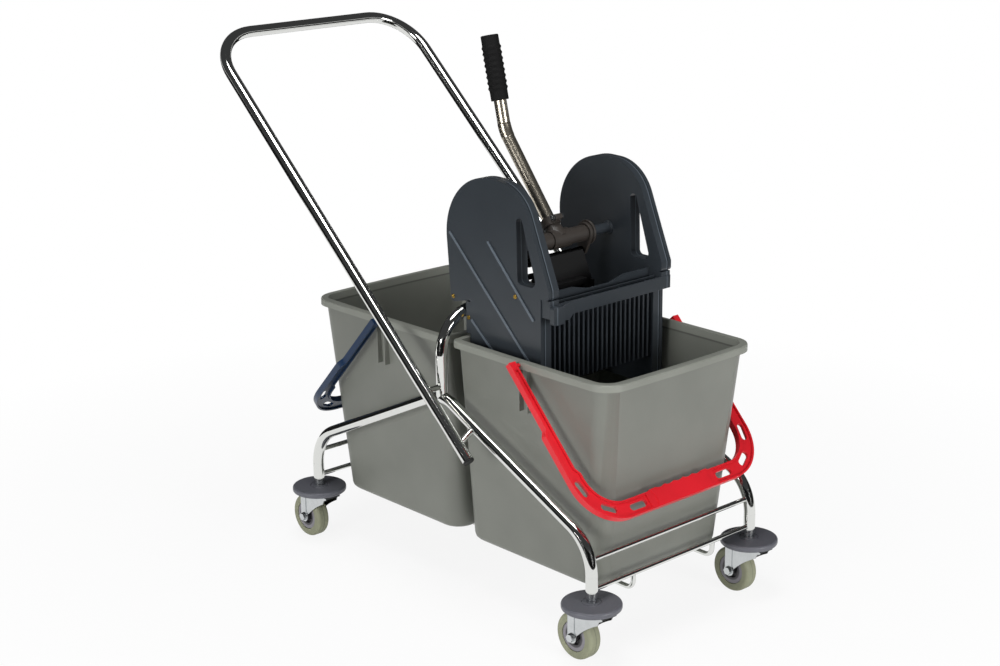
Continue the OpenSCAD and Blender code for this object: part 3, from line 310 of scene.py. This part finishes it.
def add_piece(name, bm, material, body, replaces=()):
    """Makes an object of a bmesh, which rides on a body and may stand for CAD nodes."""
    mesh = bpy.data.meshes.new(name)
    bm.to_mesh(mesh)
    bm.free()
    mesh.materials.append(material)
    mesh.shade_smooth()
    mesh.set_sharp_from_angle(angle=SHARP_FROM)
    piece = bpy.data.objects.new(name, mesh)
    bpy.context.scene.collection.objects.link(piece)
    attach(piece, body)
    if replaces:
        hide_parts(*replaces)
        flat = piece.modifiers.new("Flat faces", "WEIGHTED_NORMAL")
        flat.keep_sharp = True


def merged_copy(node):
    """A copy of a CAD node with its loose triangles joined into faces."""
    bm = bmesh.new()
    bm.from_mesh(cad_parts[node].data)
    bmesh.ops.remove_doubles(bm, verts=bm.verts, dist=SAME_PLACE)
    bmesh.ops.dissolve_limit(bm, angle_limit=FLAT, verts=bm.verts, edges=bm.edges)
    return bm


def round_edges(bm, width, segments=3, where=None):
    """Rounds the convex edges of a copy, all of them or those that a test picks."""
    edges = [e for e in bm.edges if len(e.link_faces) == 2 and e.is_convex
             and e.calc_face_angle(0) > ROUNDED_FROM and (where is None or where(e))]
    bmesh.ops.bevel(bm, geom=edges, offset=width, offset_type="OFFSET", segments=segments,
                    profile=0.5, affect="EDGES", clamp_overlap=True, material=-1)


def turned(bm, profile, centre):
    """Adds a shape turned about an axis along Y. The profile is a loop of places and radii."""
    x, z = centre
    loop = [bm.verts.new((x, y, z + r)) for y, r in profile]
    edges = [bm.edges.new((a, b)) for a, b in zip(loop, loop[1:] + loop[:1])]
    bmesh.ops.spin(bm, geom=loop + edges, cent=(x, 0, z), axis=(0, 1, 0), angle=2 * math.pi,
                   steps=TURN_STEPS, use_merge=True, use_duplicate=False)
    bmesh.ops.remove_doubles(bm, verts=bm.verts, dist=SAME_PLACE)
    bmesh.ops.recalc_face_normals(bm, faces=bm.faces)


def stand_for(node, material, body, kind, width=0, segments=3, form=None):
    """Puts a form in a CAD node's place: one that is given, or else a smooth copy of the node, with
    rounded edges where a width is given."""
    dress(node, material)
    if form is None:
        form = merged_copy(node)
        if width:
            round_edges(form, width, segments)
    add_piece(node + "_" + kind, form, material, body, (node,))


class TROLLEY_OT_frame(bpy.types.Operator):
    """Plates the tube frame, its rods and the push handle"""

    bl_idname = "trolley.frame"
    bl_label = "Frame and push handle"

    def execute(self, context):
        colours, sizes = context.scene.trolley_colours, context.scene.trolley_sizes
        # A clear mirror that carries the studio's white and dark bands
        plate = chrome_plate("Chrome plated drawn steel", colours.chrome)
        for name in TUBES + RODS:
            stand_for(name, plate, "trolley", "tube")
        # Satin black
        plug = moulded_plastic("Moulded polyethylene plug", colours.black, sizes.plastic_grain,
                               roughness=0.5)
        stand_for("handle_end_plugs", plug, "trolley", "form", sizes.plastic_edge)
        return {"FINISHED"}


class TROLLEY_OT_casters(bpy.types.Operator):
    """Finishes the swivel casters and their bumper discs"""

    bl_idname = "trolley.casters"
    bl_label = "Casters"

    def execute(self, context):
        colours, sizes = context.scene.trolley_colours, context.scene.trolley_sizes
        # Bright grey with a soft sheen
        zinc = zinc_plate("Zinc plated steel", colours.zinc)
        # The same outside, with painted shade between the plates
        pressed = zinc_plate("Zinc plated pressed steel", colours.zinc, self.painted_fork_shade)
        # Matt grey-green with a dark seam
        tyre = tyre_rubber("Cast non-marking rubber", colours.tyre, sizes.tyre_seam)
        # Satin dark grey
        bumper = moulded_plastic("Moulded polyamide bumper", colours.bumper, sizes.plastic_grain,
                                 roughness=0.45)
        # Satin grey, with painted shade in its sunk middle
        hub = moulded_plastic("Moulded polypropylene wheel centre", colours.hub,
                              sizes.plastic_grain, roughness=0.5, lift=self.painted_hub_shade)
        for corner in CORNERS:
            caster, wheel = "caster_" + corner, "wheel_" + corner
            stand_for(corner + "_stem", zinc, "trolley", "form", sizes.metal_edge)
            stand_for(corner + "_bumper", bumper, "trolley", "form",
                      sizes.bumper_edge, segments=5)
            stand_for(corner + "_fork", pressed, caster, "form",
                      form=self.fork(corner + "_fork", sizes))
            add_piece(corner + "_fork_eyes", self.eyes(corner), zinc, caster)
            stand_for(corner + "_axle", zinc, caster, "form", sizes.metal_edge)
            stand_for(corner + "_hub", hub, wheel, "form", sizes.groove_edge)
            stand_for(corner + "_tyre", tyre, wheel, "form", sizes.plastic_edge)
        return {"FINISHED"}

    def painted_fork_shade(self, tree, place):
        """Painted shade between the plates of a fork, where the hollow lies in shadow."""
        plate_inside, plate_outside, hollow_shade = 14.5 * MM, 15.5 * MM, 0.06
        low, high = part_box("front_left_fork")
        away = side_distance(tree, place, (low.y + high.y) / 2)
        return add_node(tree, "MapRange", {"Value": away, "From Min": plate_inside,
                                           "From Max": plate_outside, "To Min": hollow_shade,
                                           "To Max": 1.0}).outputs["Result"]

    def painted_hub_shade(self, tree, place):
        """Painted shade in the sunk middle of a wheel centre."""
        dark_radius, clean_radius, shadow = 17 * MM, 19 * MM, 0.2
        part = add_node(tree, "SeparateXYZ", {"Vector": place})
        flat = add_node(tree, "CombineXYZ", {"X": part.outputs["X"], "Z": part.outputs["Z"]})
        reach = []
        for end in ("front", "rear"):
            low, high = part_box(end + "_left_axle")
            centre = ((low.x + high.x) / 2, 0, (low.z + high.z) / 2)
            reach.append(add_node(tree, "VectorMath", {0: flat.outputs["Vector"], 1: centre},
                                  operation="DISTANCE").outputs["Value"])
        away = add_node(tree, "Math", {0: reach[0], 1: reach[1]}, operation="MINIMUM")
        return add_node(tree, "MapRange", {"Value": away.outputs[0], "From Min": dark_radius,
                                           "From Max": clean_radius, "To Min": shadow,
                                           "To Max": 1.0}).outputs["Result"]

    def eyes(self, corner):
        """The round ends of a fork's plates, under the heads of the axle."""
        bore, rim, edge = 4.4 * MM, 9.6 * MM, 0.5 * MM
        inner, outer = 13.6 * MM, 16.8 * MM
        low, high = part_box(corner + "_axle")
        middle = (low.y + high.y) / 2
        centre = ((low.x + high.x) / 2, (low.z + high.z) / 2)
        profile = ((inner, bore), (inner, rim), (outer - edge, rim), (outer, rim - edge),
                   (outer, bore))
        bm = bmesh.new()
        for side in (-1, 1):
            turned(bm, [(middle + side * y, r) for y, r in profile], centre)
        return bm

    def fork(self, name, sizes):
        """A fork whose crown comes up close under the bumper disc."""
        crown_low, crown_high = 14 * MM, 7 * MM
        bm = merged_copy(name)
        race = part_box(name)[1].z
        for vert in bm.verts:
            if race - crown_low < vert.co.z < race - crown_high:
                vert.co.z += sizes.crown_rise
        round_edges(bm, sizes.metal_edge)
        return bm


class TROLLEY_OT_buckets(bpy.types.Operator):
    """Finishes the two buckets and their swing bails"""

    bl_idname = "trolley.buckets"
    bl_label = "Buckets and bails"

    def execute(self, context):
        colours, sizes = context.scene.trolley_colours, context.scene.trolley_sizes
        # Satin grey, with painted light on the rim and a painted shadow under it
        wall = moulded_plastic("Moulded polypropylene bucket", colours.bucket, sizes.plastic_grain,
                               roughness=0.42, lift=self.painted_light)
        for end, tint, slot in (("front", colours.red, "bail_red"),
                                ("rear", colours.blue, "bail_blue")):
            stand_for(end + "_bucket", wall, "trolley", "shell")
            # Glossier than the bucket, in a strong colour
            plastic = moulded_plastic("Moulded polypropylene bail " + end, tint,
                                      sizes.plastic_grain, roughness=0.34)
            stand_for(end + "_bail", plastic, end + "_bail", "form", sizes.plastic_edge)
        return {"FINISHED"}

    def painted_light(self, tree, place):
        """Painted light: the rim painted paler, as if lit from above, and a painted shadow line in
        the corner under it.
        """
        rim_height, rim_blend, rim_highlight = 11.5 * MM, 0.3 * MM, 1.3
        shadow_drop, shadow_core, shadow_edge, shadow_depth = 1.2 * MM, 0.8 * MM, 2.0 * MM, 0.6
        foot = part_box("front_bucket")[1].z - rim_height
        height = add_node(tree, "SeparateXYZ", {"Vector": place}).outputs["Z"]
        # Painted highlight: the rim band is painted paler
        rim = add_node(tree, "MapRange", {"Value": height, "From Min": foot - rim_blend,
                                          "From Max": foot + rim_blend,
                                          "To Min": 1.0, "To Max": rim_highlight})
        # Painted shadow: a dark line just under the rim
        away = distance_off(tree, height, foot - shadow_drop)
        under_rim_shadow = add_node(tree, "MapRange", {"Value": away, "From Min": shadow_core,
                                            "From Max": shadow_edge,
                                            "To Min": shadow_depth, "To Max": 1.0})
        return add_node(tree, "Math", {0: rim.outputs["Result"], 1: under_rim_shadow.outputs["Result"]},
                        operation="MULTIPLY").outputs[0]


class TROLLEY_OT_wringer(bpy.types.Operator):
    """Finishes the wringer's cheeks, front bar and grid"""

    bl_idname = "trolley.wringer"
    bl_label = "Wringer"

    def execute(self, context):
        colours, sizes = context.scene.trolley_colours, context.scene.trolley_sizes
        # Smooth and glossy, with painted highlights on the ridges and a painted highlight line
        # round each cheek
        cheek = moulded_plastic("Moulded polypropylene wringer", colours.anthracite,
                                sizes.plastic_grain, roughness=0.3, depth=0.004 * MM, spread=0.01,
                                lift=self.painted_light)
        for name in CHEEKS:
            stand_for(name, cheek, "trolley", "form", form=self.cheek(name, sizes))
        for name in ("front_bar", "bar_catch"):
            stand_for(name, cheek, "trolley", "form", sizes.plastic_edge)
        stand_for("front_grid", cheek, "trolley", "form", sizes.groove_edge,
                  segments=2)
        # Small yellow glints
        screw = zinc_plate("Yellow passivated steel", colours.brass)
        stand_for("cheek_screws", screw, "trolley", "form", sizes.metal_edge)
        return {"FINISHED"}

    def painted_light(self, tree, place):
        """Painted highlights: the raised ridges and the lip of the parting groove round a cheek are
        painted lighter.
        """
        ridge_foot, ridge_top, ridge_highlight = 0.8 * MM, 1.6 * MM, 2.4
        lip_depth, lip_core, lip_edge, lip_highlight = 9.6 * MM, 0.5 * MM, 1.0 * MM, 3.4
        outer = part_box("front_bar")[1].y + CHEEK_PROUD
        across = add_node(tree, "SeparateXYZ", {"Vector": place}).outputs["Y"]
        side = add_node(tree, "Math", {0: across}, operation="ABSOLUTE").outputs[0]
        # Painted highlight on the raised ridges
        ridge = add_node(tree, "MapRange", {"Value": side, "From Min": outer + ridge_foot,
                                            "From Max": outer + ridge_top,
                                            "To Min": 0.0, "To Max": ridge_highlight})
        # Painted highlight line on the lip of the parting groove
        away = distance_off(tree, side, outer - lip_depth)
        line = add_node(tree, "MapRange", {"Value": away, "From Min": lip_core,
                                           "From Max": lip_edge,
                                           "To Min": lip_highlight, "To Max": 1.0})
        return add_node(tree, "Math", {0: ridge.outputs["Result"], 1: line.outputs["Result"]},
                        operation="ADD").outputs[0]

    def cheek(self, name, sizes):
        """A cheek whose toe comes down to the front bar, with a broad rounding round its outer face
        and finer ones on its ridges."""
        toe_back, toe_height, toe_gap = 1 * MM, 15 * MM, 0.1 * MM
        face_slack, ridge_height = 0.1 * MM, 1 * MM
        outline_shortest, ridge_shortest = 1.4 * MM, 0.6 * MM
        bm = merged_copy(name)
        low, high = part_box("front_bar")
        outer = high.y + CHEEK_PROUD
        for vert in bm.verts:
            if vert.co.x > low.x - toe_back and high.z < vert.co.z < high.z + toe_height:
                vert.co.z = max(vert.co.z - sizes.toe_drop, high.z + toe_gap)

        def outline(edge):
            on_face = all(abs(abs(v.co.y) - outer) < face_slack for v in edge.verts)
            return on_face and edge.calc_length() > outline_shortest

        def ridge(edge):
            raised = all(abs(v.co.y) > outer + ridge_height for v in edge.verts)
            return raised and edge.calc_length() > ridge_shortest

        round_edges(bm, sizes.cheek_edge, segments=4, where=outline)
        round_edges(bm, sizes.groove_edge, segments=2, where=ridge)
        return bm


class TROLLEY_OT_drive(bpy.types.Operator):
    """Finishes the wringer's lever, shaft and jaw"""

    bl_idname = "trolley.drive"
    bl_label = "Lever and jaw"

    def execute(self, context):
        colours, sizes = context.scene.trolley_colours, context.scene.trolley_sizes
        # Satin brownish black
        housing = moulded_plastic("Moulded glass-filled polyamide", colours.housing,
                                  sizes.plastic_grain, roughness=0.45)
        for name in HOUSING:
            stand_for(name, housing, "lever", "form", sizes.plastic_edge)
        # Satin black, so that the wringer's inside stays dark
        jaw = moulded_plastic("Moulded polypropylene jaw", colours.black, sizes.plastic_grain,
                              roughness=0.5)
        stand_for("jaw", jaw, "jaw", "form", sizes.plastic_edge)
        cheek = bpy.data.materials["Moulded polypropylene wringer"]
        add_piece("shaft_spacers", self.spacers(), cheek, "trolley")
        # Near black with a dull metal sheen
        dark = zinc_plate("Black phosphated steel", colours.phosphate)
        for name, body in DARK_RODS.items():
            stand_for(name, dark, body, "rod")
        # Bright grey with a soft sheen
        bolt = zinc_plate("Zinc plated steel bolt", colours.zinc)
        stand_for("clamp_bolt", bolt, "lever", "form", sizes.metal_edge)
        # Warmer and softer than the frame's chrome
        nickel = chrome_plate("Nickel plated drawn steel", colours.nickel,
                              clearest=0.26, haziest=0.27, waviness=0.008 * MM)
        stand_for("lever_tube", nickel, "lever", "tube", form=self.tube(sizes))
        # Matt black with little sheen
        grip = moulded_plastic("Moulded soft rubber", colours.rubber, sizes.plastic_grain,
                               roughness=0.75, ior=1.3)
        stand_for("lever_grip", grip, "lever", "form", form=self.grip(sizes))
        return {"FINISHED"}

    def tube(self, sizes):
        """The lever's tube, a little stouter than its solid."""
        bm = merged_copy("lever_tube")
        bm.normal_update()
        for vert in bm.verts:
            vert.co += vert.normal * sizes.lever_growth
        return bm

    def grip(self, sizes):
        """A rubber sleeve with soft rings, turned and then leant onto the end of the lever."""
        # Profile sizes in millimetres
        half, bore, wall, cap, foot_edge, top_edge = 52.2, 10, 14.4, 3, 0.8, 1.5
        soft_along, soft_in = 0.4, 0.5
        rings, pitch = 8, 9.2
        wave = ((0, 0), (1.8, 0.3), (3.6, 1.5), (5.6, 1.5), (7.4, 0.3))
        start = -pitch * rings / 2
        profile = [(-half, bore), (-half, wall - foot_edge), (-half + foot_edge, wall)]
        for ring in range(rings):
            profile += [(start + pitch * ring + along, wall + out) for along, out in wave]
        profile += [(-start, wall), (half - top_edge, wall),
                    (half - soft_along, wall - soft_in), (half, wall - top_edge),
                    (half, 0), (half - cap, 0), (half - cap, bore)]
        low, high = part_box("lever_grip")
        move = Matrix.Translation((low + high) / 2)
        lean = Matrix.Rotation(-sizes.grip_lean, 4, "Y")
        upright = Matrix.Rotation(math.pi / 2, 4, "X")
        bm = bmesh.new()
        turned(bm, [(y * MM, r * MM) for y, r in profile], (0, 0))
        bmesh.ops.transform(bm, verts=bm.verts, matrix=move @ lean @ upright)
        return bm

    def spacers(self):
        """Flanged sleeves moulded on the cheeks, which keep the lever's housing in the middle."""
        bore, wall, brim = 6.3 * MM, 8 * MM, 11 * MM
        brim_foot, brim_width = 4 * MM, 2 * MM
        housing_gap, grid_gap = 0.3 * MM, 0.1 * MM
        low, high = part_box("lever_shaft")
        centre = ((low.x + high.x) / 2, (low.z + high.z) / 2)
        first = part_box("shaft_sleeve")[1].y + housing_gap
        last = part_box("front_grid")[1].y - grid_gap
        profile = ((first, bore), (first, wall), (last - brim_foot, wall),
                   (last - brim_width, brim), (last, brim), (last, bore))
        bm = bmesh.new()
        for side in (-1, 1):
            turned(bm, [(side * y, r) for y, r in profile], centre)
        return bm


class TROLLEY_OT_stage(bpy.types.Operator):
    """Sets a pale floor, soft lamps and the camera"""

    bl_idname = "trolley.stage"
    bl_label = "Studio"

    def execute(self, context):
        scene = context.scene
        colours, sizes = scene.trolley_colours, scene.trolley_sizes
        self.floor(self.paper(colours.floor))
        self.flags(self.cotton())
        for name, place, power in LAMPS:
            self.lamp(name, place, power, sizes.lamp_size)
        self.world(scene)
        self.camera(scene)
        scene.view_settings.view_transform = "Standard"
        return {"FINISHED"}

    def shown(self, tree):
        """One for what the camera, a mirror or a glass shows, and nought for light on things."""
        path = add_node(tree, "LightPath")
        seen = add_node(tree, "Math", {0: path.outputs["Is Camera Ray"],
                                       1: path.outputs["Is Glossy Ray"]}, operation="MAXIMUM")
        return add_node(tree, "Math", {0: seen.outputs[0],
                                       1: path.outputs["Is Transmission Ray"]},
                        operation="MAXIMUM").outputs[0]

    def paper(self, tint):
        """White paper: plain white a little way off the trolley, with a soft shadow under it."""
        near, far, near_share = 0.5, 1.4, 0.88
        material, tree = new_material("Matt white paper")
        place = add_node(tree, "TexCoord").outputs["Object"]
        away = add_node(tree, "VectorMath", {0: place}, operation="LENGTH")
        share = add_node(tree, "MapRange", {"Value": away.outputs["Value"],
                                            "From Min": near, "From Max": far,
                                            "To Min": near_share, "To Max": 1.0})
        part = add_node(tree, "Math", {0: self.shown(tree), 1: share.outputs["Result"]},
                        operation="MULTIPLY")
        matt = add_node(tree, "BsdfDiffuse", {"Color": (*tint, 1)})
        white = add_node(tree, "Emission", {"Color": (*linear("ffffff"), 1), "Strength": 1.0})
        mix = add_node(tree, "MixShader", {0: part.outputs[0], 1: matt.outputs["BSDF"],
                                           2: white.outputs["Emission"]})
        add_node(tree, "OutputMaterial", {"Surface": mix.outputs["Shader"]})
        return material

    def cotton(self):
        """Black cotton: so dark that the chrome shows it as a black band. Real threads are about
        0.5 mm wide, too fine to show, so the weave is drawn coarser."""
        thread = 3 * MM
        material, tree = new_material("Woven black cotton")
        place = add_node(tree, "TexCoord").outputs["Object"]
        weave = add_node(tree, "TexNoise", {"Vector": place, "Scale": 1 / thread, "Detail": 2.0})
        shade = add_node(tree, "MapRange", {"Value": weave.outputs["Fac"],
                                            "To Min": 0.008, "To Max": 0.02})
        cloth = add_node(tree, "BsdfDiffuse", {"Color": shade.outputs["Result"]})
        add_node(tree, "OutputMaterial", {"Surface": cloth.outputs["BSDF"]})
        return material

    def floor(self, material):
        """A wide sheet just under the wheels."""
        half_width, gap = 9.0, 0.5 * MM
        bm = bmesh.new()
        bmesh.ops.create_grid(bm, x_segments=1, y_segments=1, size=half_width)
        bmesh.ops.translate(bm, verts=bm.verts, vec=(0, 0, -gap))
        self.stand("floor", bm, material)

    def flags(self, material):
        """Cotton laid and hung round the white floor, which gives the chrome its dark bands."""
        half_length, half_width, border, lift = 3.1, 1.8, 0.8, 2 * MM
        radius, height, panels = 1.8, 0.8, 32
        bm = bmesh.new()
        laid = bmesh.ops.create_grid(bm, x_segments=1, y_segments=1, size=1)["verts"]
        inner = laid[0].link_faces[0]
        bmesh.ops.inset_region(bm, faces=[inner], thickness=border)
        bmesh.ops.delete(bm, geom=[inner], context="FACES")
        bmesh.ops.scale(bm, vec=(half_length, half_width, 1), verts=bm.verts)
        bmesh.ops.translate(bm, vec=(0, 0, lift), verts=bm.verts)
        foot = bm.verts.new((radius, 0, 0))
        head = bm.verts.new((radius, 0, height))
        bmesh.ops.spin(bm, geom=[bm.edges.new((foot, head))], cent=(0, 0, 0), axis=(0, 0, 1),
                       angle=2 * math.pi, steps=panels, use_merge=True, use_duplicate=False)
        flags = self.stand("flags", bm, material)
        flags.visible_camera = flags.visible_diffuse = flags.visible_shadow = False

    def stand(self, name, bm, material):
        """Makes a stage object of a bmesh."""
        mesh = bpy.data.meshes.new(name)
        bm.to_mesh(mesh)
        bm.free()
        mesh.materials.append(material)
        thing = bpy.data.objects.new(name, mesh)
        bpy.context.scene.collection.objects.link(thing)
        return thing

    def world(self, scene):
        """A dim room, darker in a mirror, over plain white."""
        room_colour = (0.8, 0.81, 0.83, 1)
        room_light, mirrored_light = 0.22, 0.06
        seen_rise, horizon = 0.4, 0.08
        world = scene.world or bpy.data.worlds.new("Studio")
        scene.world = world
        world.use_nodes = True
        tree = world.node_tree
        tree.nodes.clear()
        path = add_node(tree, "LightPath")
        around = add_node(tree, "TexCoord").outputs["Generated"]
        rise = add_node(tree, "SeparateXYZ", {"Vector": around})
        level = add_node(tree, "Math", {0: path.outputs["Is Camera Ray"], 1: seen_rise},
                         operation="MULTIPLY")
        over = add_node(tree, "Math", {0: rise.outputs["Z"], 1: level.outputs[0]},
                        operation="SUBTRACT")
        low = add_node(tree, "MapRange", {"Value": over.outputs[0],
                                          "From Min": 0.0, "From Max": horizon,
                                          "To Min": 1.0, "To Max": 0.0})
        part = add_node(tree, "Math", {0: self.shown(tree), 1: low.outputs["Result"]},
                        operation="MULTIPLY")
        dim = add_node(tree, "MapRange", {"Value": path.outputs["Is Glossy Ray"],
                                          "To Min": room_light, "To Max": mirrored_light})
        room = add_node(tree, "Background", {"Color": room_colour,
                                             "Strength": dim.outputs["Result"]})
        white = add_node(tree, "Background", {"Color": (*linear("ffffff"), 1), "Strength": 1.0})
        mix = add_node(tree, "MixShader", {0: part.outputs[0], 1: room.outputs[0],
                                           2: white.outputs[0]})
        add_node(tree, "OutputWorld", {"Surface": mix.outputs["Shader"]})

    def lamp(self, name, place, power, size):
        """A square softbox aimed at the wringer."""
        data = bpy.data.lights.new(name, "AREA")
        data.energy = power
        data.shape = "SQUARE"
        data.size = size
        lamp = bpy.data.objects.new(name, data)
        lamp.location = place
        aim = LAMP_AIM - Vector(place)
        lamp.rotation_euler = aim.to_track_quat("-Z", "Y").to_euler()
        bpy.context.scene.collection.objects.link(lamp)

    def camera(self, scene):
        """The photograph's view: a long lens from the front right, a little above the rims."""
        data = bpy.data.cameras.new("View")
        data.sensor_width = CAMERA_SENSOR
        data.lens = CAMERA_LENS
        camera = bpy.data.objects.new("View", data)
        turn = Matrix((CAMERA_RIGHT, CAMERA_UP, CAMERA_BACK)).transposed()
        camera.matrix_world = Matrix.Translation(CAMERA_PLACE) @ turn.to_4x4()
        scene.collection.objects.link(camera)
        scene.camera = camera


class TROLLEY_PT_panel(bpy.types.Panel):
    """Lists the trolley's finishing steps"""

    bl_idname = "TROLLEY_PT_panel"
    bl_label = "Trolley"
    bl_space_type = "VIEW_3D"
    bl_region_type = "UI"
    bl_category = "Trolley"

    def draw(self, context):
        for step in STEPS:
            self.layout.operator(step.bl_idname)


STEPS = (TROLLEY_OT_frame, TROLLEY_OT_casters, TROLLEY_OT_buckets, TROLLEY_OT_wringer,
         TROLLEY_OT_drive, TROLLEY_OT_stage)
CLASSES = (TrolleyColours, TrolleySizes, *STEPS, TROLLEY_PT_panel)


def register():
    """Adds the trolley's properties, steps and panel."""
    for cls in CLASSES:
        bpy.utils.register_class(cls)
    bpy.types.Scene.trolley_colours = PointerProperty(type=TrolleyColours)
    bpy.types.Scene.trolley_sizes = PointerProperty(type=TrolleySizes)


def unregister():
    """Takes them away again."""
    del bpy.types.Scene.trolley_sizes
    del bpy.types.Scene.trolley_colours
    for cls in reversed(CLASSES):
        bpy.utils.unregister_class(cls)


def main():
    """Runs every step in order."""
    register()
    bpy.ops.trolley.frame()
    bpy.ops.trolley.casters()
    bpy.ops.trolley.buckets()
    bpy.ops.trolley.wringer()
    bpy.ops.trolley.drive()
    bpy.ops.trolley.stage()


if __name__ == "__main__":
    main()
